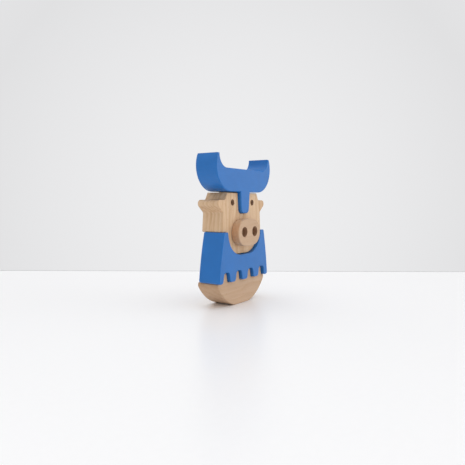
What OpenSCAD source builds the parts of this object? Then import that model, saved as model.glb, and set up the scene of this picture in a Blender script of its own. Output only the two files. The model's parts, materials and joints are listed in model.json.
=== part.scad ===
// Stacking figure cut from flat boards: a pig in a tunic and a horned helmet.
// Every board's outline lies in the XZ plane and the figure faces -Y.
// The origin is the centre of the flat foot that it stands on.
// Board above board, the pieces lift straight off: helmet, head, tunic, base.

/* [Boards] */
// Thickness of every board
board_t = 18; // [16:1:24]
// Distance by which the painted boards stand forward of the bare ones
paint_step = 2.5; // [0:0.5:4]
// Gap along the sides of each jigsaw joint
joint_gap = 0.3; // [0.2:0.05:0.5]

/* [Base] */
// Half-width of the flat foot
foot_half = 10; // [7:0.5:14]
// Radius of the belly's two arcs
belly_r = 37.1; // [36:0.1:40]
// Distance of each belly arc's centre from the middle
belly_x = 1.1; // [0:0.1:3]
// Half-width of the base at its shoulders
base_half = 32; // [30:0.5:33]
// Corner radius of the shoulders
base_corner_r = 1.3; // [0.5:0.1:2]

/* [Tunic] */
// Height of the hem above the foot
hem_z = 18.2; // [16:0.1:20]
// Height of the shoulders above the foot
collar_z = 54.4; // [52:0.1:56]
// Half-width at the hem
hem_half = 34.1; // [33.6:0.1:36]
// Half-width at the shoulders
collar_half = 27.8; // [27.4:0.1:29]
// Bow of each side away from a straight line
side_bow = 0.7; // [0.3:0.1:1.5]
// Corner radius at the hem
hem_corner_r = 1.8; // [1:0.1:2.2]
// Corner radius at the shoulders
collar_corner_r = 0.9; // [0.4:0.1:1.2]

/* [Neckline] */
// Width of the neckline at the shoulders
neck_mouth = 45.6; // [44:0.1:46.4]
// Width of the neckline at its floor, before its corners are rounded
neck_floor = 39.8; // [38:0.1:41]
// Depth of the neckline
neck_depth = 17.1; // [16:0.1:18]
// Corner radius of the neckline's floor
neck_r = 17; // [14:0.5:17]

/* [Scalloped hem] */
// Distance from one notch to the next
notch_pitch = 16.2; // [15.6:0.1:16.6]
// Width of a notch at the hem
notch_mouth = 9.2; // [8:0.1:9.6]
// Width of a notch at its top, before its corners are rounded
notch_top = 6.4; // [5.6:0.1:7]
// Depth of a notch
notch_depth = 7.5; // [6:0.1:9]
// Corner radius at the top of a notch
notch_r = 2.8; // [1:0.1:3]
// Corner radius at the bottom of a lobe
lobe_r = 2.2; // [1.5:0.1:2.5]

/* [Head] */
// Height of the top of the head above the foot
crown_z = 82.9; // [82:0.1:83.2]
// Half-width of the top of the head
crown_half = 20.4; // [19:0.1:21]
// Half-width of the head just above the ears
temple_half = 23.4; // [22.5:0.1:24]
// Half-width of the head just below the ears
cheek_half = 25.3; // [24.5:0.1:26]
// Half-width of the jaw
jaw_half = 26.9; // [26.2:0.1:27.2]
// Corner radius of the crown and the jaw
head_corner_r = 0.8; // [0.4:0.1:1.2]

/* [Ears] */
// Distance of each ear's tip from the middle
ear_tip = 32.1; // [30:0.1:34]
// Height of the upper edge of the ears
ear_top_z = 77.6; // [76:0.1:79]
// Radius of an ear's tip
ear_r = 2.8; // [2:0.1:3.2]
// Slope of the lower edge of an ear, in degrees
ear_slope = 40; // [34:1:46]
// Radius that blends an ear into the head
ear_blend_r = 2.2; // [1:0.1:3]

/* [Face] */
// Distance of each eye from the middle
eye_x = 13.7; // [12:0.1:15]
// Height of the eyes
eye_z = 75.7; // [74:0.1:77]
// Diameter of the eye drillings
eye_d = 4.5; // [3:0.1:5]
// Depth of the eye drillings
eye_depth = 5; // [2:0.5:6]

/* [Snout] */
// Half-width of the snout
snout_half_w = 15.4; // [13:0.1:17]
// Half-height of the snout
snout_half_h = 10.2; // [9.6:0.1:10.6]
// Radius of the snout's rounded ends
snout_end_r = 9.6; // [6:0.1:10]
// Thickness of the snout
snout_t = 6.5; // [5:0.5:9]
// Height of the middle of the snout
snout_z = 53.6; // [53:0.1:55]
// Distance of each nostril from the middle
nostril_x = 7.2; // [6.8:0.1:8]
// Height of the nostrils above the middle of the snout
nostril_rise = 0.5; // [0:0.1:1.5]
// Diameter of the nostrils
nostril_d = 7.5; // [6:0.1:8]
// Depth of the nostrils
nostril_depth = 4; // [2:0.5:4.5]

/* [Helmet] */
// Height of the helmet's underside above the foot
brim_z = 83.5; // [83.3:0.1:84.2]
// Height of the dip between the horns
dip_z = 100.3; // [98:0.1:102]
// Height of the horn tips, which is the height of the figure
tip_z = 110; // [107:0.5:114]
// Outer radius of the horns
horn_r = 18.2; // [17.6:0.1:19]
// Distance of each outer arc's centre from the middle
horn_x = 19.5; // [19:0.1:20.5]
// Distance of the inner edge of each horn tip from the middle
tip_inner = 33.5; // [31:0.1:34]

/* [Nose guard] */
// Width of the guard at the helmet's underside
guard_root = 13.2; // [12:0.1:14]
// Width of the guard at its tip, before its corners are rounded
guard_tip = 10.4; // [9.5:0.1:11]
// Length of the guard
guard_len = 15.8; // [14:0.1:16.4]
// Corner radius of the guard's tip
guard_r = 3.2; // [2:0.1:3.8]

/* [Dowels] */
// Diameter of the pegs between the helmet and the head, and in the neck
peg_d = 6; // [5:0.5:6.5]
// Diameter of the pegs in the hem
hem_peg_d = 4; // [3:0.5:4.5]
// Diameter of the pins behind the snout
pin_d = 4; // [3:0.5:4.5]
// Distance of each peg in the crown from the middle
crown_peg_x = 13; // [11:0.5:14]
// Distance of each snout pin from the middle of the snout
pin_rise = 5.6; // [5:0.1:6]
// Length of a peg glued into the board below
peg_sunk = 10; // [8:0.5:11]
// Length of a peg standing up into the board above
peg_proud = 8; // [6:0.5:9]
// Length of a snout pin in the snout, and in the head
pin_sunk = 4; // [3:0.5:4.5]
// Radial gap around a peg in the board that lifts off it
peg_gap = 0.05; // [0.02:0.01:0.1]
// Chamfer on the ends of the dowels
dowel_chamfer = 0.6; // [0.3:0.1:1]

/* [Hidden] */
$fn = 96;
slack = 0.5;            // overlap that keeps joined outlines from only touching
blend = 0.01;           // how far a corner's arc runs past tangency, to cross its edges cleanly
bare_front = -board_t / 2;
paint_front = bare_front - paint_step;
belly_z = sqrt(pow(belly_r, 2) - pow(foot_half - belly_x, 2));
notch_places = [-1.5, -0.5, 0.5, 1.5] * notch_pitch;
notch_lean = taper(notch_mouth, notch_top, notch_depth);
hem_peg_x = notch_pitch;
neck_floor_z = collar_z - neck_depth;
horn_z = brim_z + horn_r;
inner_r = tip_z - dip_z;
inner_x = tip_inner - inner_r;
ear_x = ear_tip - ear_r;
ear_z = ear_top_z - ear_r;
cheek_lean = atan((jaw_half - cheek_half) / (ear_z - collar_z));
side_points = [[collar_half, collar_z], [hem_half, hem_z]];
side_len = norm(side_points[1] - side_points[0]);
side_r = (pow(side_len / 2, 2) + pow(side_bow, 2)) / (2 * side_bow);
side_lean = atan((hem_half - collar_half) / (collar_z - hem_z));
side_turn = asin(side_len / 2 / side_r);
snout_front = bare_front - snout_t;
end_x = snout_half_w - snout_end_r;
broad_z = (pow(end_x, 2) - pow(snout_half_h - snout_end_r, 2))
    / (2 * (snout_half_h - snout_end_r));
broad_r = snout_half_h + broad_z;

// Lean of a tongue's sides from upright, in degrees
function taper(root, tip, length) = atan((root - tip) / 2 / length);

function polar(angle, distance) = distance * [cos(angle), sin(angle)];

// Stands up a board that is laid out flat, with its front face at y = front.
// Everything laid out in it is as thick as the board.
module board(front, thick) {
    $thick = thick;
    translate([0, front + thick, 0])
        rotate([90, 0, 0])
            children();
}

module slab() {
    linear_extrude(height = $thick)
        children();
}

// Tapered jigsaw tongue that hangs from its root, with two round corners at its tip.
// grow moves the sides and the tip outwards.
module tongue(root, tip, length, r, grow = 0) {
    lean = taper(root, tip, length);
    corner_x = tip / 2 + r * tan(lean) - r / cos(lean);
    corner = [corner_x, r - length];
    edge_r = r + grow;
    side = corner + polar(-lean, edge_r - blend);
    top_x = root / 2 + grow / cos(lean);
    rise = slack * [tan(lean), 1];
    top = [top_x, 0] + rise;
    slab()
        polygon([top, side, corner - [0, edge_r],
                 [-corner[0], corner[1] - edge_r], [-side[0], side[1]], [-top[0], top[1]]]);
    for (s = [-1, 1])
        translate([s * corner[0], corner[1]])
            slab()
                circle(r = edge_r);
}

// The patch between a corner, its two edges at the angles from and to, and the
// arc that blends them: taken away it rounds a corner, and added it fills one.
module corner_patch(corner, from, to, r) {
    half = (to - from) / 2;
    middle = (from + to) / 2;
    centre = corner + polar(middle, r / sin(half));
    reach = r / tan(half);
    slab()
        difference() {
            polygon([corner - polar(middle, slack), corner + polar(from, reach),
                     centre, corner + polar(to, reach)]);
            translate(centre)
                circle(r = r + blend);
        }
}

module both_sides() {
    children();
    mirror([1, 0])
        children();
}

// What lies inside both a shape and its mirror image
module both_sides_kept() {
    intersection() {
        children();
        mirror([1, 0])
            children();
    }
}

// Dowel along +Z from the origin, chamfered at both ends
module dowel(d, length) {
    cylinder(h = dowel_chamfer, d1 = d - 2 * dowel_chamfer, d2 = d);
    translate([0, 0, dowel_chamfer])
        cylinder(h = length - 2 * dowel_chamfer, d = d);
    translate([0, 0, length - dowel_chamfer])
        cylinder(h = dowel_chamfer, d1 = d, d2 = d - 2 * dowel_chamfer);
}

// A peg that crosses the joint at height z
module peg(d, x, z) {
    translate([x, 0, z - peg_sunk])
        dowel(d, peg_sunk + peg_proud);
}

// The blind hole that a peg is glued into, below the joint at height z
module glued_hole(d, x, z) {
    translate([x, 0, z - peg_sunk])
        cylinder(h = peg_sunk + slack, d = d);
}

// The blind hole that a peg slides up into, above the joint at height z
module free_hole(d, x, z) {
    translate([x, 0, z - slack])
        cylinder(h = peg_proud + 2 * slack, d = d + 2 * peg_gap);
}

// A hole along Y, from y = front
module drilling(d, x, z, front, depth) {
    translate([x, front, z])
        rotate([-90, 0, 0])
            cylinder(h = depth, d = d);
}

module notches(grow = 0) {
    for (x = notch_places)
        translate([x, hem_z])
            mirror([0, 1])
                tongue(notch_mouth, notch_top, notch_depth, notch_r, grow);
}

// The patches at both feet of every notch, for a notch narrowed by shrink
module notch_feet(r, shrink = 0) {
    foot_x = notch_mouth / 2 - shrink / cos(notch_lean);
    for (x = notch_places)
        translate([x, 0])
            both_sides()
                corner_patch([foot_x, hem_z], 0, 90 + notch_lean, r);
}

module base_outline() {
    difference() {
        both_sides()
            half_belly();
        both_sides()
            corner_patch([base_half, hem_z], 180, 270, base_corner_r);
    }
    notches(-joint_gap);
    notch_feet(lobe_r - joint_gap, joint_gap);
}

module half_belly() {
    slab()
        intersection() {
            translate([belly_x, belly_z])
                circle(r = belly_r);
            translate([-slack, 0])
                square([base_half + slack, hem_z]);
        }
}

module tunic_outline() {
    difference() {
        intersection() {
            translate([-hem_half - 1, hem_z])
                slab()
                    square([2 * hem_half + 2, collar_z - hem_z]);
            both_sides_kept()
                bowed_side();
        }
        translate([0, collar_z])
            tongue(neck_mouth, neck_floor, neck_depth, neck_r);
        notches();
        notch_feet(lobe_r);
        both_sides()
            corner_patch(side_points[1], 90 + side_lean - side_turn, 180, hem_corner_r);
        both_sides()
            corner_patch(side_points[0], 180, 270 + side_lean + side_turn, collar_corner_r);
    }
}

// Disc whose edge is the tunic's right side
module bowed_side() {
    middle = (side_points[0] + side_points[1]) / 2;
    translate(middle + polar(180 + side_lean, side_r - side_bow))
        slab()
            circle(r = side_r, $fn = 4 * $fn);
}

module head_outline() {
    difference() {
        union() {
            slab()
                polygon([[crown_half, crown_z], [temple_half, ear_top_z],
                         [cheek_half, ear_z], [jaw_half, collar_z],
                         [-jaw_half, collar_z], [-cheek_half, ear_z],
                         [-temple_half, ear_top_z], [-crown_half, crown_z]]);
            both_sides()
                ear_outline();
            translate([0, collar_z])
                tongue(neck_mouth, neck_floor, neck_depth, neck_r, -joint_gap);
        }
        translate([0, brim_z + joint_gap])
            tongue(guard_root, guard_tip, guard_len, guard_r, joint_gap);
        both_sides()
            corner_patch([jaw_half, collar_z], 90 + cheek_lean, 180, head_corner_r);
    }
}

module ear_outline() {
    lower = [ear_x, ear_z] + polar(ear_slope - 90, ear_r);
    run = (lower[0] - cheek_half) + slack;
    root = lower - run * [1, tan(ear_slope)];
    foot = ear_foot(lower);
    slab()
        polygon([[temple_half - slack, ear_top_z], [ear_x, ear_top_z], lower, root]);
    translate([ear_x, ear_z])
        slab()
            circle(r = ear_r);
    temple_lean = atan((temple_half - crown_half) / (crown_z - ear_top_z));
    corner_patch([temple_half, ear_top_z], 0, 90 + temple_lean, ear_blend_r);
    corner_patch(foot, cheek_lean - 90, ear_slope, ear_blend_r);
}

// Where the lower edge of an ear, through the point lower, meets the cheek
function ear_foot(lower) =
    let (m = tan(ear_slope), k = tan(cheek_lean),
         z = (lower[1] + m * (cheek_half + k * ear_z - lower[0])) / (1 + m * k))
    [cheek_half + k * (ear_z - z), z];

// Oval of four arcs: two small ends, and two broad arcs that run into them
module snout_outline() {
    joint_x = end_x * broad_r / (broad_r - snout_end_r);
    slab()
        intersection() {
            translate([0, -broad_z])
                circle(r = broad_r);
            translate([0, broad_z])
                circle(r = broad_r);
            square([2 * joint_x, 2 * snout_half_h + 1], center = true);
        }
    both_sides()
        translate([end_x, 0])
            slab()
                circle(r = snout_end_r + blend);
}

module helmet_outline() {
    difference() {
        union() {
            both_sides()
                half_horns();
            translate([0, brim_z])
                tongue(guard_root, guard_tip, guard_len, guard_r);
        }
        translate([-inner_x, dip_z])
            slab()
                square([2 * inner_x, 2 * inner_r]);
        both_sides()
            translate([inner_x, tip_z])
                slab()
                    circle(r = inner_r);
    }
}

// One side of the helmet, before the dip between the horns is taken out
module half_horns() {
    slab()
        intersection() {
            translate([horn_x, horn_z])
                circle(r = horn_r);
            translate([horn_x, brim_z])
                square([horn_r + 1, tip_z - brim_z]);
        }
    translate([-slack, brim_z])
        slab()
            square([horn_x + slack, tip_z - brim_z]);
}

module base() {
    color("tan")
        difference() {
            board(bare_front, board_t)
                base_outline();
            for (s = [-1, 1])
                glued_hole(hem_peg_d, s * hem_peg_x, hem_z);
        }
}

module tunic() {
    color("royalblue")
        difference() {
            board(paint_front, board_t)
                tunic_outline();
            for (s = [-1, 1])
                free_hole(hem_peg_d, s * hem_peg_x, hem_z);
            glued_hole(peg_d, 0, neck_floor_z);
        }
}

module head() {
    color("wheat")
        difference() {
            board(bare_front, board_t)
                head_outline();
            for (s = [-1, 1]) {
                glued_hole(peg_d, s * crown_peg_x, crown_z);
                drilling(eye_d, s * eye_x, eye_z, bare_front - slack, eye_depth + slack);
                drilling(pin_d, 0, snout_z + s * pin_rise, bare_front - slack, pin_sunk + slack);
            }
            free_hole(peg_d, 0, neck_floor_z);
        }
}

module helmet() {
    color("royalblue")
        difference() {
            board(paint_front, board_t)
                helmet_outline();
            for (s = [-1, 1])
                free_hole(peg_d, s * crown_peg_x, crown_z);
        }
}

module snout() {
    color("burlywood")
        difference() {
            board(snout_front, snout_t)
                translate([0, snout_z])
                    snout_outline();
            for (s = [-1, 1]) {
                drilling(nostril_d, s * nostril_x, snout_z + nostril_rise,
                         snout_front - slack, nostril_depth + slack);
                drilling(pin_d, 0, snout_z + s * pin_rise, bare_front - pin_sunk,
                         pin_sunk + slack);
            }
        }
}

module base_peg(side) {
    color("peru")
        peg(hem_peg_d, side * hem_peg_x, hem_z);
}

module neck_peg() {
    color("peru")
        peg(peg_d, 0, neck_floor_z);
}

module crown_peg(side) {
    color("peru")
        peg(peg_d, side * crown_peg_x, crown_z);
}

module snout_pin(side) {
    color("peru")
        translate([0, bare_front - pin_sunk, snout_z + side * pin_rise])
            rotate([-90, 0, 0])
                dowel(pin_d, 2 * pin_sunk);
}

base();
tunic();
head();
helmet();
snout();
base_peg(-1);  // base_peg_left
base_peg(1);  // base_peg_right
neck_peg();
crown_peg(-1);  // crown_peg_left
crown_peg(1);  // crown_peg_right
snout_pin(1);  // snout_pin_upper
snout_pin(-1);  // snout_pin_lower
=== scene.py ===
import json
import math

import bmesh
import bpy
from bpy.props import FloatProperty, FloatVectorProperty, IntProperty, PointerProperty
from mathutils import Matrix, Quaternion, Vector


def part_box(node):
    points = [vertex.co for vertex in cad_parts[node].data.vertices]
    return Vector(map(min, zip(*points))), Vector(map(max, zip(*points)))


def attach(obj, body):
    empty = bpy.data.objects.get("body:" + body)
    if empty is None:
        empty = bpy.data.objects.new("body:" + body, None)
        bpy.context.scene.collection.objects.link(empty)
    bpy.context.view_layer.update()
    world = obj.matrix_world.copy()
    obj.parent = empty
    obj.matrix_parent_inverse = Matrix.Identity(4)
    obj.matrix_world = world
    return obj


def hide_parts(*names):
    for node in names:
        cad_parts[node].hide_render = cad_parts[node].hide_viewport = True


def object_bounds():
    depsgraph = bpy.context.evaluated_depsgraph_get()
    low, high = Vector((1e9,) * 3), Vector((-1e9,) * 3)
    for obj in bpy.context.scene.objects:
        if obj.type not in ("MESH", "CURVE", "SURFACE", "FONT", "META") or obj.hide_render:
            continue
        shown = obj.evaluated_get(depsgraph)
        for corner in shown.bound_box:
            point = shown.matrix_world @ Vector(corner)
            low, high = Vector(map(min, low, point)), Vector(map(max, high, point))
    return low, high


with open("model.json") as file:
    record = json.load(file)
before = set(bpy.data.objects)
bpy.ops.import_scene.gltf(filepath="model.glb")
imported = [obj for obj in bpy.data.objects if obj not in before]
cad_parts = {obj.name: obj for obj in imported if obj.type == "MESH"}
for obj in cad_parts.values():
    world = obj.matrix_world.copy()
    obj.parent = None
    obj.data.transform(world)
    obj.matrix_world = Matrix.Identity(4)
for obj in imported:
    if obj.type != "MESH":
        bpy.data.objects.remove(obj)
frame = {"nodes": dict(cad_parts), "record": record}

bl_info = {
    "name": "Stacking Pig Figure",
    "version": (1, 0, 0),
    "blender": (4, 5, 0),
    "location": "3D View > Sidebar > Figure",
    "description": "Painted and bare wooden boards of a stacking figure, round the packed CAD frame",
    "category": "Object",
}

CAD_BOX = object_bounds()
FIGURE_HEIGHT = CAD_BOX[1].z
BODY_OF_NODE = {
    node: body
    for body, nodes in frame["record"]["behaviour"]["bodies"].items()
    for node in nodes
}
MM = 0.001

# Material slots of a board; the second holds the darker wood that paints shade inside the drillings
SURFACE, DRILLED = 0, 1
# Point attribute that is 1 in the middle of a rounded edge
EDGE_MARK = "eased_edge"
# Edges that turn more than this stay sharp in the shading
CREASE = math.radians(35)


# ---------------------------------------------------------------------------
# Settings
# ---------------------------------------------------------------------------

class FigureEdges(bpy.types.PropertyGroup):
    """How far the edges of the boards and the drillings are eased"""

    helmet: FloatProperty(
        name="Helmet edges", description="Radius on the edges of the helmet",
        default=0.85 * MM, min=0.2 * MM, max=0.9 * MM, unit="LENGTH")
    tunic: FloatProperty(
        name="Tunic edges", description="Radius on the edges of the tunic, which has finer corners",
        default=0.6 * MM, min=0.2 * MM, max=0.6 * MM, unit="LENGTH")
    bare: FloatProperty(
        name="Bare edges", description="Radius on the edges of the head and the base",
        default=0.6 * MM, min=0.2 * MM, max=0.7 * MM, unit="LENGTH")
    snout: FloatProperty(
        name="Snout edge", description="Radius on the edges of the snout",
        default=0.8 * MM, min=0.2 * MM, max=1.2 * MM, unit="LENGTH")
    drilling: FloatProperty(
        name="Drilling rims", description="Break on the rims of the eyes, nostrils and peg holes",
        default=0.18 * MM, min=0.05 * MM, max=0.3 * MM, unit="LENGTH")
    steps: IntProperty(
        name="Steps", description="Segments across each rounded edge", default=5, min=2, max=8)
    rim_steps: IntProperty(
        name="Rim steps", description="Segments across the rim of each drilling",
        default=2, min=1, max=4)


class FigureColours(bpy.types.PropertyGroup):
    """Colours of the paint and the woods"""

    paint: FloatVectorProperty(
        name="Paint", description="Blue of the helmet and the tunic",
        default=(0.007, 0.154, 0.492), min=0, max=1, subtype="COLOR")
    # Lighter blue on the rounded edges: partly paint rubbed thin, partly a painted highlight
    worn_and_highlit_paint: FloatVectorProperty(
        name="Edge wear and highlight", description="Blue where the paint is rubbed thin, with a painted highlight,, along the rounded edges",
        default=(0.045, 0.24, 0.62), min=0, max=1, subtype="COLOR")
    pale: FloatVectorProperty(
        name="Pale wood", description="Wood of the head",
        default=(0.75, 0.545, 0.36), min=0, max=1, subtype="COLOR")
    brown: FloatVectorProperty(
        name="Brown wood", description="Wood of the base and the snout",
        default=(0.61, 0.425, 0.285), min=0, max=1, subtype="COLOR")
    # Darker wood inside the eyes and nostrils: painted shade for the hollows
    drilled: FloatVectorProperty(
        name="Drilling shade", description="Wood inside the eyes and nostrils, painted darker as shade in the hollows",
        default=(0.40, 0.255, 0.17), min=0, max=1, subtype="COLOR")
    dowel: FloatVectorProperty(
        name="Dowel wood", description="Wood of the pegs and pins",
        default=(0.62, 0.44, 0.26), min=0, max=1, subtype="COLOR")


class DowelShape(bpy.types.PropertyGroup):
    """Shape of the fluted dowels"""

    flutes: IntProperty(
        name="Flutes", description="Grooves pressed along each dowel", default=14, min=6, max=24)
    flute_depth: FloatProperty(
        name="Flute depth", description="Depth of the grooves",
        default=0.16 * MM, min=0, max=0.4 * MM, unit="LENGTH")
    chamfer: FloatProperty(
        name="Chamfer", description="Chamfer on the ends",
        default=0.6 * MM, min=0.2 * MM, max=1.0 * MM, unit="LENGTH")


class StageSettings(bpy.types.PropertyGroup):
    """The floor, the light and the camera"""

    camera_place: FloatVectorProperty(
        name="Camera place", description="Where the camera stands",
        default=(-0.3087, -0.2019, 0.0753), subtype="TRANSLATION", unit="LENGTH")
    camera_turn: FloatProperty(
        name="Camera turn", description="Which way round the figure the camera stands",
        default=math.radians(-56.81), subtype="ANGLE")
    camera_tilt: FloatProperty(
        name="Camera tilt", description="How far the camera looks down",
        default=math.radians(3.475), subtype="ANGLE")
    camera_roll: FloatProperty(
        name="Camera roll", description="Turn of the camera about its own axis",
        default=math.radians(0.157), subtype="ANGLE")
    lens: FloatProperty(
        name="Lens", description="Focal length on a 36 mm sensor", default=37.54, unit="CAMERA")
    table_reach: FloatProperty(
        name="Table reach", description="Distance from the camera to the table's far edge",
        default=0.532, min=0.3, unit="LENGTH")
    table_span: FloatProperty(
        name="Table span", description="How far the table runs to either side and back from its far edge",
        default=6.0, min=1, unit="LENGTH")
    # Depth of the dark grey sheet at the table's far edge, a painted shadow strip
    table_edge_shadow: FloatProperty(
        name="Table lip", description="Depth of the darker lip at the table's far edge",
        default=6 * MM, min=0, unit="LENGTH")
    room_level: FloatProperty(
        name="Room level", description="Brightness of the room behind the camera",
        default=0.80, min=0, max=2)
    overhead_level: FloatProperty(
        name="Overhead level", description="Brightness of the ceiling",
        default=1.88, min=0, max=3)
    vignette: FloatProperty(
        name="Backdrop edge", description="Brightness of the backdrop away from its middle",
        default=0.88, min=0, max=1, subtype="FACTOR")
    key_place: FloatVectorProperty(
        name="Key place", description="Where the soft light to the front right stands",
        default=(3.9, -7.15, 0.78), subtype="TRANSLATION", unit="LENGTH")
    key_size: FloatProperty(
        name="Key size", description="Diameter of the soft light", default=9.1, min=0.1, unit="LENGTH")
    key_power: FloatProperty(
        name="Key power", description="Power of the soft light",
        default=194.0, min=0, unit="POWER")
    surroundings: FloatVectorProperty(
        name="Surroundings", description="Colour of the plain backdrop and its light",
        default=(0.855, 0.855, 0.865), min=0, max=1, subtype="COLOR")


# ---------------------------------------------------------------------------
# Node helpers
# ---------------------------------------------------------------------------

def place_node(tree, kind, inputs=None, **settings):
    """Adds a node; an input given as a socket is linked, and any other value is set"""
    node = tree.nodes.new(kind)
    for key, value in settings.items():
        setattr(node, key, value)
    for key, value in (inputs or {}).items():
        if isinstance(value, bpy.types.NodeSocket):
            tree.links.new(value, node.inputs[key])
        else:
            node.inputs[key].default_value = value
    return node


def math_node(tree, operation, *values):
    return place_node(tree, "ShaderNodeMath", dict(enumerate(values)), operation=operation).outputs[0]


def map_range(tree, value, low, high, to_low, to_high):
    inputs = {"Value": value, "From Min": low, "From Max": high,
              "To Min": to_low, "To Max": to_high}
    return place_node(tree, "ShaderNodeMapRange", inputs, clamp=True).outputs["Result"]


def noise(tree, vector, scale, detail=2.0, roughness=0.5):
    inputs = {"Vector": vector, "Scale": scale, "Detail": detail, "Roughness": roughness}
    return place_node(tree, "ShaderNodeTexNoise", inputs).outputs["Fac"]


def stretched(tree, vector, scale, turn=(0, 0, 0)):
    inputs = {"Vector": vector, "Scale": scale, "Rotation": turn}
    return place_node(tree, "ShaderNodeMapping", inputs).outputs["Vector"]


def mix_colours(tree, blend, factor, first, second):
    node = place_node(tree, "ShaderNodeMix", data_type="RGBA", blend_type=blend)
    for key, value in ((0, factor), (6, first), (7, second)):
        if isinstance(value, bpy.types.NodeSocket):
            tree.links.new(value, node.inputs[key])
        else:
            node.inputs[key].default_value = value
    return node.outputs[2]


def start_material(name):
    material = bpy.data.materials.new(name)
    material.use_nodes = True
    tree = material.node_tree
    tree.nodes.clear()
    shader = place_node(tree, "ShaderNodeBsdfPrincipled")
    place_node(tree, "ShaderNodeOutputMaterial", {"Surface": shader.outputs["BSDF"]})
    return material, tree, shader


def shade(colour, factor):
    """An opaque colour, made darker or lighter by the factor"""
    return (*(channel * factor for channel in colour), 1.0)


# ---------------------------------------------------------------------------
# Finishes
# ---------------------------------------------------------------------------

# What each part of the grain multiplies the colour of the wood by
LATE_WOOD = (0.86, 0.78, 0.69, 1)
STREAK = (0.87, 0.80, 0.72, 1)
FIBRE = (0.88, 0.82, 0.75, 1)
FLECK = (0.74, 0.60, 0.48, 1)
END_GRAIN = (0.86, 0.79, 0.72, 1)
WARM_END_GRAIN = (1.04, 0.82, 0.64, 1)
# What the grain under it multiplies the colour of the paint by
COVERED_GRAIN = (0.84, 0.88, 0.92, 1)
# The turn that lays upright grain across a board
ACROSS = (0, math.radians(-90), 0)
# The turn that lays upright grain from front to back
FRONT_TO_BACK = (math.radians(90), 0, 0)


def bare_wood(name, colour, pith, ring, contrast, turn=(0, 0, 0), end_tint=END_GRAIN):
    """Sanded wood with its grain along Z before the turn

    The growth rings lie round the pith, an X and Y place in millimetres, and each is ring
    millimetres wide. The contrast is 1 for a lively board.
    """
    material, tree, shader = start_material(name)
    coords = place_node(tree, "ShaderNodeTexCoord")
    mm = stretched(tree, coords.outputs["Object"], (1000, 1000, 1000), turn)
    along = place_node(tree, "ShaderNodeSeparateXYZ", {"Vector": mm})

    sway = noise(tree, stretched(tree, mm, (0.05, 0.05, 0.012)), 1.0, 2.0)
    across_x = math_node(tree, "SUBTRACT", along.outputs["X"], pith[0])
    across_y = math_node(tree, "SUBTRACT", along.outputs["Y"], pith[1])
    square_x = math_node(tree, "POWER", across_x, 2.0)
    square_y = math_node(tree, "POWER", across_y, 2.0)
    radius = math_node(tree, "SQRT", math_node(tree, "ADD", square_x, square_y))
    swayed = math_node(tree, "ADD", radius, math_node(tree, "MULTIPLY", sway, 16.0))
    phase = math_node(tree, "FRACT", math_node(tree, "DIVIDE", swayed, ring))
    rise = map_range(tree, phase, 0.15, 0.86, 0.0, 1.0)
    fall = map_range(tree, phase, 0.86, 1.0, 1.0, 0.0)
    rings = math_node(tree, "MINIMUM", rise, fall)

    fibres = noise(tree, stretched(tree, mm, (2.4, 2.4, 0.06)), 1.0, 3.0, 0.6)
    streaks = noise(tree, stretched(tree, mm, (0.42, 0.42, 0.012)), 1.0, 2.0)
    clouds = noise(tree, stretched(tree, mm, (0.06, 0.06, 0.03)), 1.0, 2.0)
    rays = noise(tree, stretched(tree, mm, (1.1, 3.6, 0.34)), 1.0, 1.0)
    flecks = map_range(tree, rays, 0.65, 0.76, 0.0, 1.0)

    tone = mix_colours(tree, "MIX", map_range(tree, clouds, 0.3, 0.7, 0.0, 1.0),
                       shade(colour, 0.97), shade(colour, 1.03))
    tone = mix_colours(tree, "MULTIPLY", math_node(tree, "MULTIPLY", rings, 0.5 * contrast),
                       tone, LATE_WOOD)
    tone = mix_colours(tree, "MULTIPLY", map_range(tree, streaks, 0.42, 0.72, 0.0, 0.55 * contrast),
                       tone, STREAK)
    tone = mix_colours(tree, "MULTIPLY", map_range(tree, fibres, 0.35, 0.75, 0.0, 0.5 * contrast),
                       tone, FIBRE)
    tone = mix_colours(tree, "MULTIPLY", math_node(tree, "MULTIPLY", flecks, 0.38 * contrast),
                       tone, FLECK)

    facing = place_node(tree, "ShaderNodeSeparateXYZ", {
        "Vector": stretched(tree, coords.outputs["Normal"], (1, 1, 1), turn)})
    endwise = math_node(tree, "ABSOLUTE", facing.outputs["Z"])
    end_grain = map_range(tree, endwise, 0.55, 0.95, 0.0, 0.7)
    tone = mix_colours(tree, "MULTIPLY", end_grain, tone, end_tint)
    tree.links.new(tone, shader.inputs["Base Color"])

    tree.links.new(map_range(tree, fibres, 0.3, 0.7, 0.50, 0.62), shader.inputs["Roughness"])
    shader.inputs["Specular IOR Level"].default_value = 0.3
    relief = math_node(tree, "SUBTRACT", fibres, math_node(tree, "MULTIPLY", flecks, 0.6))
    bump = place_node(tree, "ShaderNodeBump", {
        "Height": relief, "Strength": 0.25, "Distance": 0.08 * MM})
    tree.links.new(bump.outputs["Normal"], shader.inputs["Normal"])
    return material


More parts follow.
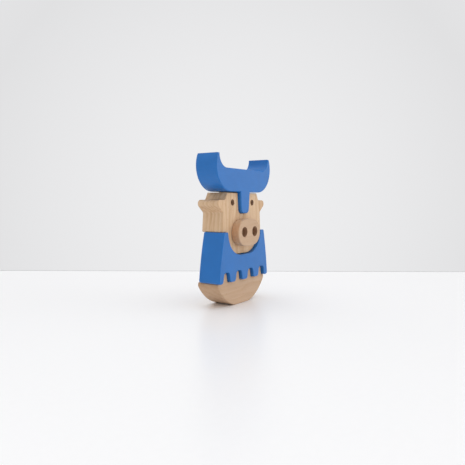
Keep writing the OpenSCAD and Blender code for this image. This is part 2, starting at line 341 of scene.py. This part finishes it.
def satin_paint(name, colour, worn_and_highlit_colour):
    """Sprayed satin paint that lets a little of the wood's grain telegraph through"""
    material, tree, shader = start_material(name)
    coords = place_node(tree, "ShaderNodeTexCoord")
    mm = stretched(tree, coords.outputs["Object"], (1000, 1000, 1000))

    clouds = noise(tree, mm, 0.09, 2.0)
    grain = noise(tree, stretched(tree, mm, (0.06, 1.9, 1.9)), 1.0, 3.0, 0.6)
    peel = noise(tree, mm, 1.7, 1.0)

    tone = mix_colours(tree, "MIX", map_range(tree, clouds, 0.3, 0.7, 0.0, 1.0),
                       shade(colour, 0.95), shade(colour, 1.05))
    tone = mix_colours(tree, "MULTIPLY", map_range(tree, grain, 0.45, 0.8, 0.0, 0.35),
                       tone, COVERED_GRAIN)
    # Lighter blue in patches along the rounded edges: partly paint rubbed thin, partly a painted
    # highlight
    edge = place_node(tree, "ShaderNodeAttribute", attribute_name=EDGE_MARK).outputs["Fac"]
    patches = map_range(tree, noise(tree, mm, 0.5, 3.0), 0.35, 0.65, 0.15, 0.55)
    wear_and_highlight = math_node(tree, "MULTIPLY", edge, patches)
    tone = mix_colours(tree, "MIX", wear_and_highlight, tone, shade(worn_and_highlit_colour, 1.0))
    tree.links.new(tone, shader.inputs["Base Color"])
    tree.links.new(map_range(tree, grain, 0.3, 0.7, 0.34, 0.42), shader.inputs["Roughness"])
    shader.inputs["Specular IOR Level"].default_value = 0.45
    height = math_node(tree, "ADD", math_node(tree, "MULTIPLY", grain, 0.7),
                       math_node(tree, "MULTIPLY", peel, 0.3))
    bump = place_node(tree, "ShaderNodeBump", {
        "Height": height, "Strength": 0.35, "Distance": 0.05 * MM})
    tree.links.new(bump.outputs["Normal"], shader.inputs["Normal"])
    return material


def table_finish(name, grey):
    """A grey or white table surface with a soft sheen"""
    material, tree, shader = start_material(name)
    coords = place_node(tree, "ShaderNodeTexCoord")
    speckle = noise(tree, coords.outputs["Object"], 300.0, 2.0)
    tone = mix_colours(tree, "MIX", speckle, shade((grey, grey, grey), 0.99),
                       shade((grey, grey, grey), 1.01))
    tree.links.new(tone, shader.inputs["Base Color"])
    shader.inputs["Roughness"].default_value = 0.3
    shader.inputs["Specular IOR Level"].default_value = 0.4
    return material


# ---------------------------------------------------------------------------
# Boards
# ---------------------------------------------------------------------------

# Points nearer than this are one point
SAME_POINT = 0.001 * MM
# An edge shorter than this is dissolved before the edges are rounded
SLIVER = 0.03 * MM
# Faces that turn less than this are one flat face
FLAT = math.radians(0.1)
# Edges that turn more than this are edges of the board, and not facets of a curve
BOARD_EDGE = math.radians(28)
# No drilling has a rim as far from its middle as this, and every outline does
BIGGEST_DRILLING = 5 * MM
# No drilling that shows is as deep as this
DEEPEST_DRILLING = 7 * MM


def merged_board(node):
    """A bmesh copy of a CAD node with its triangles merged into whole faces"""
    shell = bmesh.new()
    shell.from_mesh(frame["nodes"][node].data)
    bmesh.ops.remove_doubles(shell, verts=shell.verts, dist=SAME_POINT)
    bmesh.ops.dissolve_degenerate(shell, dist=SLIVER, edges=shell.edges)
    bmesh.ops.dissolve_limit(
        shell, angle_limit=FLAT, use_dissolve_boundaries=False,
        verts=shell.verts, edges=shell.edges, delimit={"NORMAL"})
    return shell


def sharp_edges(shell):
    return [edge for edge in shell.edges
            if len(edge.link_faces) == 2 and edge.calc_face_angle(0.0) > BOARD_EDGE]


def middle_of(vertices):
    return sum((v.co for v in vertices), Vector()) / len(vertices)


def reach_of(vertices):
    """How far the furthest of the vertices is from their middle"""
    middle = middle_of(vertices)
    return max((v.co - middle).length for v in vertices)


def crosses_board(edge):
    """Tells the sawn corners, which run through the board, from the edges of its two faces"""
    return abs(edge.verts[0].co.y - edge.verts[1].co.y) > 0.01 * MM


def joined_groups(edges):
    """Groups the edges that hang together by their vertices, in the same order each time"""
    left = dict.fromkeys(edges)
    groups = []
    while left:
        group = [left.popitem()[0]]
        waiting = list(group)
        while waiting:
            edge = waiting.pop()
            for vertex in edge.verts:
                for other in vertex.link_edges:
                    if other in left:
                        del left[other]
                        group.append(other)
                        waiting.append(other)
        groups.append(group)
    return groups


def round_edges(shell, edges, width, steps):
    """Rounds the edges, and marks the points in the middle of each rounding"""
    made = bmesh.ops.bevel(
        shell, geom=edges, offset=width, offset_type="OFFSET", segments=steps,
        profile=0.5, affect="EDGES", clamp_overlap=False, miter_outer="SHARP",
        miter_inner="SHARP")
    mark = shell.verts.layers.float.get(EDGE_MARK) or shell.verts.layers.float.new(EDGE_MARK)
    rounding = set(made["faces"])
    for vertex in made["verts"]:
        if vertex.is_valid and all(face in rounding for face in vertex.link_faces):
            vertex[mark] = 1.0


def paint_drilling_shade(shell, rim_vertices):
    """Gives the wall and floor behind a drilling's rim the darker wood, which is painted shade for the
    hollow
    """
    middle = middle_of(rim_vertices)
    reach = reach_of(rim_vertices) + 0.05 * MM
    for face in shell.faces:
        offsets = [v.co - middle for v in face.verts]
        if all(math.hypot(o.x, o.z) < reach and abs(o.y) < DEEPEST_DRILLING for o in offsets):
            face.material_index = DRILLED


def eased_board(node, width, edges):
    """A shell of the node with its own edges rounded by width, and the rims of its drillings broken"""
    shell = merged_board(node)
    for face in shell.faces:
        face.material_index = SURFACE
    rims, outline = [], []
    for group in joined_groups(sharp_edges(shell)):
        vertices = list(dict.fromkeys(v for edge in group for v in edge.verts))
        if reach_of(vertices) < BIGGEST_DRILLING:
            rims.extend(group)
            paint_drilling_shade(shell, vertices)
        else:
            outline.extend(edge for edge in group if not crosses_board(edge))
    round_edges(shell, outline, width, edges.steps)
    round_edges(shell, [edge for edge in rims if edge.is_valid], edges.drilling, edges.rim_steps)
    return shell


def link_object(thing):
    bpy.context.scene.collection.objects.link(thing)


def bake_modifiers(piece):
    """Replaces the piece's mesh by what its modifiers make of it, and removes them"""
    graph = bpy.context.evaluated_depsgraph_get()
    baked = bpy.data.meshes.new_from_object(piece.evaluated_get(graph), depsgraph=graph)
    piece.modifiers.clear()
    old = piece.data
    baked.name = old.name
    piece.data = baked
    bpy.data.meshes.remove(old)


def stand_for(piece, *nodes):
    """Lets a piece take the place and the body of its CAD nodes"""
    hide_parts(*nodes)
    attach(piece, BODY_OF_NODE[nodes[0]])


def finish_board(name, shell, node, surface, drilled=None):
    """Turns a shell into the piece that stands for a CAD node

    The normals that came with the CAD mesh are dropped, because they don't fit rounded edges.
    """
    mesh = bpy.data.meshes.new(name)
    shell.to_mesh(mesh)
    shell.free()
    for attribute in [a for a in mesh.attributes if a.name == "custom_normal"]:
        mesh.attributes.remove(attribute)
    mesh.materials.append(surface)
    # The second slot holds the darker wood, painted shade inside the drillings
    if drilled:
        mesh.materials.append(drilled)
    for polygon in mesh.polygons:
        polygon.use_smooth = True
        if not drilled:
            polygon.material_index = SURFACE
    mesh.set_sharp_from_angle(angle=CREASE)
    piece = bpy.data.objects.new(name, mesh)
    link_object(piece)
    weighted = piece.modifiers.new("Flat faces stay flat", "WEIGHTED_NORMAL")
    weighted.mode = "FACE_AREA"
    weighted.weight = 100
    weighted.keep_sharp = True
    bake_modifiers(piece)
    stand_for(piece, node)


# ---------------------------------------------------------------------------
# Operators for the shaped boards
# ---------------------------------------------------------------------------

def shared_paint(context):
    """The paint of the helmet and the tunic, made by whichever comes first"""
    colours = context.scene.figure_colours
    made = bpy.data.materials.get("satin_blue")
    return made or satin_paint("satin_blue", colours.paint, colours.worn_and_highlit_paint)


class FIGURE_OT_base(bpy.types.Operator):
    """Make the round-bellied base board"""

    bl_idname = "figure.base"
    bl_label = "Base"

    def execute(self, context):
        edges = context.scene.figure_edges
        shell = eased_board("base", edges.bare, edges)
        wood = bare_wood("base_wood", context.scene.figure_colours.brown,
                         pith=(52, 34), ring=3.4, contrast=0.8, turn=ACROSS)
        finish_board("base_board", shell, "base", wood)
        return {"FINISHED"}


class FIGURE_OT_tunic(bpy.types.Operator):
    """Make the painted tunic with its scalloped hem"""

    bl_idname = "figure.tunic"
    bl_label = "Tunic"

    def execute(self, context):
        edges = context.scene.figure_edges
        shell = eased_board("tunic", edges.tunic, edges)
        finish_board("tunic_board", shell, "tunic", shared_paint(context))
        return {"FINISHED"}


class FIGURE_OT_head(bpy.types.Operator):
    """Make the pale head with its ears and drilled eyes"""

    bl_idname = "figure.head"
    bl_label = "Head"

    def execute(self, context):
        edges = context.scene.figure_edges
        colours = context.scene.figure_colours
        shell = eased_board("head", edges.bare, edges)
        rings = {"pith": (34, 58), "ring": 2.9}
        wood = bare_wood("head_wood", colours.pale, contrast=1.5, **rings)
        # Darker wood inside the eyes: painted shade for the hollows
        drilled = bare_wood("shaded_drilled_head_wood", colours.drilled, contrast=0.6, **rings)
        finish_board("head_board", shell, "head", wood, drilled)
        return {"FINISHED"}


class FIGURE_OT_snout(bpy.types.Operator):
    """Make the oval snout with its drilled nostrils"""

    bl_idname = "figure.snout"
    bl_label = "Snout"

    def execute(self, context):
        edges = context.scene.figure_edges
        colours = context.scene.figure_colours
        shell = eased_board("snout", edges.snout, edges)
        rings = {"pith": (-40, 30), "ring": 3.0, "turn": ACROSS}
        wood = bare_wood("snout_wood", colours.brown, contrast=0.7, end_tint=WARM_END_GRAIN, **rings)
        # Darker wood inside the nostrils: painted shade for the hollows
        drilled = bare_wood("shaded_drilled_snout_wood", colours.drilled, contrast=0.6, **rings)
        finish_board("snout_disc", shell, "snout", wood, drilled)
        return {"FINISHED"}


class FIGURE_OT_helmet(bpy.types.Operator):
    """Make the painted helmet with its horns and nose guard"""

    bl_idname = "figure.helmet"
    bl_label = "Helmet"

    def execute(self, context):
        edges = context.scene.figure_edges
        shell = eased_board("helmet", edges.helmet, edges)
        finish_board("helmet_board", shell, "helmet", shared_paint(context))
        return {"FINISHED"}


# ---------------------------------------------------------------------------
# Fluted dowels, by Geometry Nodes
# ---------------------------------------------------------------------------

POINTS_PER_FLUTE = 6
DOWEL_INPUTS = (
    ("Radius", "NodeSocketFloat"),
    ("Length", "NodeSocketFloat"),
    ("Chamfer", "NodeSocketFloat"),
    ("Flutes", "NodeSocketInt"),
    ("Flute Depth", "NodeSocketFloat"),
    ("Axis", "NodeSocketVector"),
    ("Wood", "NodeSocketMaterial"),
)


def dowel_tree():
    """One chamfered, fluted dowel along Z, set on every point and turned to Axis"""
    tree = bpy.data.node_groups.new("fluted_dowels", "GeometryNodeTree")
    tree.interface.new_socket("Middles", in_out="INPUT", socket_type="NodeSocketGeometry")
    for name, kind in DOWEL_INPUTS:
        tree.interface.new_socket(name, in_out="INPUT", socket_type=kind)
    tree.interface.new_socket("Dowels", in_out="OUTPUT", socket_type="NodeSocketGeometry")
    given = place_node(tree, "NodeGroupInput").outputs
    index = place_node(tree, "GeometryNodeInputIndex").outputs["Index"]

    def at_point(number):
        return math_node(tree, "COMPARE", index, float(number), 0.1)

    half = math_node(tree, "MULTIPLY", given["Length"], 0.5)
    shoulder = math_node(tree, "SUBTRACT", half, given["Chamfer"])
    upper = math_node(tree, "ADD", math_node(tree, "MULTIPLY", at_point(3), half),
                      math_node(tree, "MULTIPLY", at_point(2), shoulder))
    lower = math_node(tree, "ADD", math_node(tree, "MULTIPLY", at_point(0), half),
                      math_node(tree, "MULTIPLY", at_point(1), shoulder))
    height = math_node(tree, "SUBTRACT", upper, lower)
    line = place_node(tree, "GeometryNodeCurvePrimitiveLine", {"End": (0, 0, 1)})
    path = place_node(tree, "GeometryNodeResampleCurve", {
        "Curve": line.outputs["Curve"], "Count": 4})
    path = place_node(tree, "GeometryNodeSetPosition", {
        "Geometry": path.outputs["Curve"],
        "Position": place_node(tree, "ShaderNodeCombineXYZ", {"Z": height}).outputs["Vector"]})
    ends = math_node(tree, "ADD", at_point(0), at_point(3))
    loss = math_node(tree, "DIVIDE", given["Chamfer"], given["Radius"])
    girth = math_node(tree, "SUBTRACT", 1.0, math_node(tree, "MULTIPLY", ends, loss))
    path = place_node(tree, "GeometryNodeSetCurveRadius", {
        "Curve": path.outputs["Geometry"], "Radius": girth})

    round_points = math_node(tree, "MULTIPLY", given["Flutes"], float(POINTS_PER_FLUTE))
    ring = place_node(tree, "GeometryNodeCurvePrimitiveCircle", {
        "Resolution": round_points, "Radius": given["Radius"]})
    angle = math_node(tree, "MULTIPLY", index, 2 * math.pi / POINTS_PER_FLUTE)
    wave = math_node(tree, "MULTIPLY_ADD", math_node(tree, "COSINE", angle), 0.5, 0.5)
    groove = math_node(tree, "MULTIPLY", math_node(tree, "POWER", wave, 2.0), given["Flute Depth"])
    pressed = math_node(tree, "SUBTRACT", 1.0, math_node(tree, "DIVIDE", groove, given["Radius"]))
    spot = place_node(tree, "GeometryNodeInputPosition").outputs["Position"]
    drawn_in = place_node(tree, "ShaderNodeVectorMath", {0: spot, "Scale": pressed}, operation="SCALE")
    ring = place_node(tree, "GeometryNodeSetPosition", {
        "Geometry": ring.outputs["Curve"], "Position": drawn_in.outputs["Vector"]})

    dowel = place_node(tree, "GeometryNodeCurveToMesh", {
        "Curve": path.outputs["Curve"], "Profile Curve": ring.outputs["Geometry"],
        "Fill Caps": True})
    turned = place_node(tree, "FunctionNodeAlignRotationToVector", {"Vector": given["Axis"]}, axis="Z")
    placed = place_node(tree, "GeometryNodeInstanceOnPoints", {
        "Points": given["Middles"], "Instance": dowel.outputs["Mesh"],
        "Rotation": turned.outputs["Rotation"]})
    real = place_node(tree, "GeometryNodeRealizeInstances", {"Geometry": placed.outputs["Instances"]})
    finished = place_node(tree, "GeometryNodeSetMaterial", {
        "Geometry": real.outputs["Geometry"], "Material": given["Wood"]})
    place_node(tree, "NodeGroupOutput", {"Dowels": finished.outputs["Geometry"]})
    return tree


def drop_empty_slots(mesh):
    """Leaves the mesh its one real material, in its first slot"""
    wood = next(material for material in mesh.materials if material)
    mesh.materials.clear()
    mesh.materials.append(wood)


def set_dowels(name, nodes, wood, settings):
    """Sets one fluted dowel in the place of each of these nodes, all alike and on one body"""
    low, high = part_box(nodes[0])
    size = high - low
    along = Vector((0, 0, 1)) if size.z > size.y else Vector((0, 1, 0))
    middles = [sum(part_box(node), Vector()) / 2 for node in nodes]
    mesh = bpy.data.meshes.new(name)
    mesh.from_pydata(middles, [], [])
    piece = bpy.data.objects.new(name, mesh)
    link_object(piece)
    modifier = piece.modifiers.new("Dowels", "NODES")
    modifier.node_group = bpy.data.node_groups.get("fluted_dowels") or dowel_tree()
    values = {
        "Radius": size.x / 2,
        "Length": max(size),
        "Chamfer": settings.chamfer,
        "Flutes": settings.flutes,
        "Flute Depth": settings.flute_depth,
        "Axis": along,
        "Wood": wood,
    }
    for socket in modifier.node_group.interface.items_tree:
        if socket.name in values:
            modifier[socket.identifier] = values[socket.name]
    bake_modifiers(piece)
    drop_empty_slots(piece.data)
    piece.data.polygons.foreach_set("use_smooth", [True] * len(piece.data.polygons))
    piece.data.set_sharp_from_angle(angle=CREASE)
    stand_for(piece, *nodes)


class FIGURE_OT_dowels(bpy.types.Operator):
    """Set the dowels that hold the boards in line and the snout on the head"""

    bl_idname = "figure.dowels"
    bl_label = "Dowels"

    def execute(self, context):
        shape = context.scene.figure_dowels
        colour = context.scene.figure_colours.dowel
        grain = {"pith": (9, 14), "ring": 1.6, "contrast": 0.8}
        upright = bare_wood("peg_wood", colour, **grain)
        lying = bare_wood("pin_wood", colour, turn=FRONT_TO_BACK, **grain)
        set_dowels("base_pegs", ("base_peg_left", "base_peg_right"), upright, shape)
        set_dowels("tunic_peg", ("neck_peg",), upright, shape)
        set_dowels("crown_pegs", ("crown_peg_left", "crown_peg_right"), upright, shape)
        set_dowels("snout_pins", ("snout_pin_upper", "snout_pin_lower"), lying, shape)
        return {"FINISHED"}


# ---------------------------------------------------------------------------
# Stage
# ---------------------------------------------------------------------------

TABLE_GREY = 0.93
# Grey of the painted shadow strip along the table's far edge
EDGE_SHADOW_GREY = 0.4
# The painted shadow strip lies a little lower than the table
EDGE_SHADOW_DROP = 0.4 * MM
# Where the light of the surroundings changes, as the cosine of the angle from the camera's view
ROOM_DARKEST, ROOM_LIGHTEST = -0.9, 0.55
BACKDROP_DIM, BACKDROP_FULL = 0.88, 1.0
BACKDROP_ENDS = 0.7
# Where the light of the ceiling starts and is full, as the sine of the height
CEILING_STARTS, CEILING_FULL = 0.55, 0.95


def camera_away(settings):
    """The level direction in which the camera looks"""
    return Vector((-math.sin(settings.camera_turn), math.cos(settings.camera_turn), 0))


def lay_sheet(name, near, far, sideways, height, grey):
    """A level sheet between two points, which runs as far as sideways to either side"""
    corners = (near - sideways, near + sideways, far + sideways, far - sideways)
    mesh = bpy.data.meshes.new(name)
    mesh.from_pydata([(c.x, c.y, height) for c in corners], [], [(0, 1, 2, 3)])
    mesh.materials.append(table_finish(name, grey))
    if mesh.polygons[0].normal.z < 0:
        mesh.flip_normals()
    sheet = bpy.data.objects.new(name, mesh)
    link_object(sheet)


def lay_table(settings):
    """A wide white table whose far edge lies across the camera's view, with a thin dark grey sheet along
    that edge as a painted shadow strip
    """
    away = camera_away(settings)
    sideways = Vector((away.y, -away.x, 0)) * settings.table_span
    foot = Vector((settings.camera_place[0], settings.camera_place[1], 0))
    far = foot + away * settings.table_reach
    shadow_strip = far + away * settings.table_edge_shadow
    lay_sheet("table_top", far - away * settings.table_span, far, sideways, 0.0, TABLE_GREY)
    # A dark grey sheet along the far edge, a painted shadow strip
    lay_sheet("table_edge_shadow", far, shadow_strip, sideways, -EDGE_SHADOW_DROP, EDGE_SHADOW_GREY)


def surround(settings):
    """A plain pale backdrop all round, which also gives the soft light"""
    world = bpy.data.worlds.new("surroundings")
    bpy.context.scene.world = world
    world.use_nodes = True
    tree = world.node_tree
    tree.nodes.clear()
    sky = place_node(tree, "ShaderNodeTexCoord").outputs["Generated"]
    ahead = place_node(tree, "ShaderNodeVectorMath", {0: sky, 1: camera_away(settings)},
                       operation="DOT_PRODUCT").outputs["Value"]
    upward = place_node(tree, "ShaderNodeSeparateXYZ", {"Vector": sky}).outputs["Z"]
    room = map_range(tree, ahead, ROOM_DARKEST, ROOM_LIGHTEST, settings.room_level, 1.0)
    ceiling = map_range(tree, upward, CEILING_STARTS, CEILING_FULL, 0.0, settings.overhead_level)
    level = math_node(tree, "MAXIMUM", room, ceiling)
    middle = map_range(tree, ahead, BACKDROP_DIM, BACKDROP_FULL, settings.vignette, 1.0)
    outside = map_range(tree, ahead, BACKDROP_DIM, BACKDROP_ENDS, 0.0, 1.0 - settings.vignette)
    backdrop = math_node(tree, "ADD", middle, outside)
    background = place_node(tree, "ShaderNodeBackground", {
        "Color": (*settings.surroundings, 1),
        "Strength": math_node(tree, "MULTIPLY", level, backdrop)})
    place_node(tree, "ShaderNodeOutputWorld", {"Surface": background.outputs["Background"]})


def light_figure(settings):
    """One large soft light to the front right, turned to the middle of the figure"""
    light = bpy.data.lights.new("key", "AREA")
    light.shape = "DISK"
    light.size = settings.key_size
    light.energy = settings.key_power
    lamp = bpy.data.objects.new("key", light)
    lamp.location = settings.key_place
    target = Vector((0, 0, FIGURE_HEIGHT / 2))
    lamp.rotation_euler = (target - lamp.location).to_track_quat("-Z", "Y").to_euler()
    link_object(lamp)


def place_camera(settings):
    """The camera, with the whole figure sharp"""
    camera = bpy.data.cameras.new("camera")
    camera.lens = settings.lens
    camera.sensor_width = 36
    camera.clip_start = 0.01
    holder = bpy.data.objects.new("camera", camera)
    turn, tilt = settings.camera_turn, settings.camera_tilt
    back = Vector((math.sin(turn) * math.cos(tilt), -math.cos(turn) * math.cos(tilt), math.sin(tilt)))
    facing = (-back).to_track_quat("-Z", "Y") @ Quaternion((0, 0, 1), settings.camera_roll)
    holder.location = settings.camera_place
    holder.rotation_mode = "QUATERNION"
    holder.rotation_quaternion = facing
    link_object(holder)
    bpy.context.scene.camera = holder


class FIGURE_OT_stage(bpy.types.Operator):
    """Lay the table, light it and place the camera"""

    bl_idname = "figure.stage"
    bl_label = "Stage"

    def execute(self, context):
        settings = context.scene.figure_stage
        lay_table(settings)
        surround(settings)
        light_figure(settings)
        place_camera(settings)
        context.scene.view_settings.view_transform = "Standard"
        return {"FINISHED"}


# ---------------------------------------------------------------------------
# Panel and registration
# ---------------------------------------------------------------------------

class FIGURE_PT_pieces(bpy.types.Panel):
    """Lists the pieces of the figure"""

    bl_idname = "FIGURE_PT_pieces"
    bl_label = "Stacking Figure"
    bl_space_type = "VIEW_3D"
    bl_region_type = "UI"
    bl_category = "Figure"

    def draw(self, context):
        layout = self.layout
        for step in STEPS:
            layout.operator(step.bl_idname)
        for group in GROUPS:
            settings = getattr(context.scene, group)
            box = layout.box()
            for key in settings.__annotations__:
                box.prop(settings, key)


STEPS = (
    FIGURE_OT_base,
    FIGURE_OT_tunic,
    FIGURE_OT_head,
    FIGURE_OT_snout,
    FIGURE_OT_helmet,
    FIGURE_OT_dowels,
    FIGURE_OT_stage,
)
GROUPS = {
    "figure_edges": FigureEdges,
    "figure_colours": FigureColours,
    "figure_dowels": DowelShape,
    "figure_stage": StageSettings,
}


def register():
    for cls in (*GROUPS.values(), *STEPS, FIGURE_PT_pieces):
        bpy.utils.register_class(cls)
    for name, cls in GROUPS.items():
        setattr(bpy.types.Scene, name, PointerProperty(type=cls))


def unregister():
    for name in GROUPS:
        delattr(bpy.types.Scene, name)
    for cls in reversed((*GROUPS.values(), *STEPS, FIGURE_PT_pieces)):
        bpy.utils.unregister_class(cls)


def main():
    register()
    for step in STEPS:
        group, name = step.bl_idname.split(".")
        getattr(getattr(bpy.ops, group), name)()


if __name__ == "__main__":
    main()
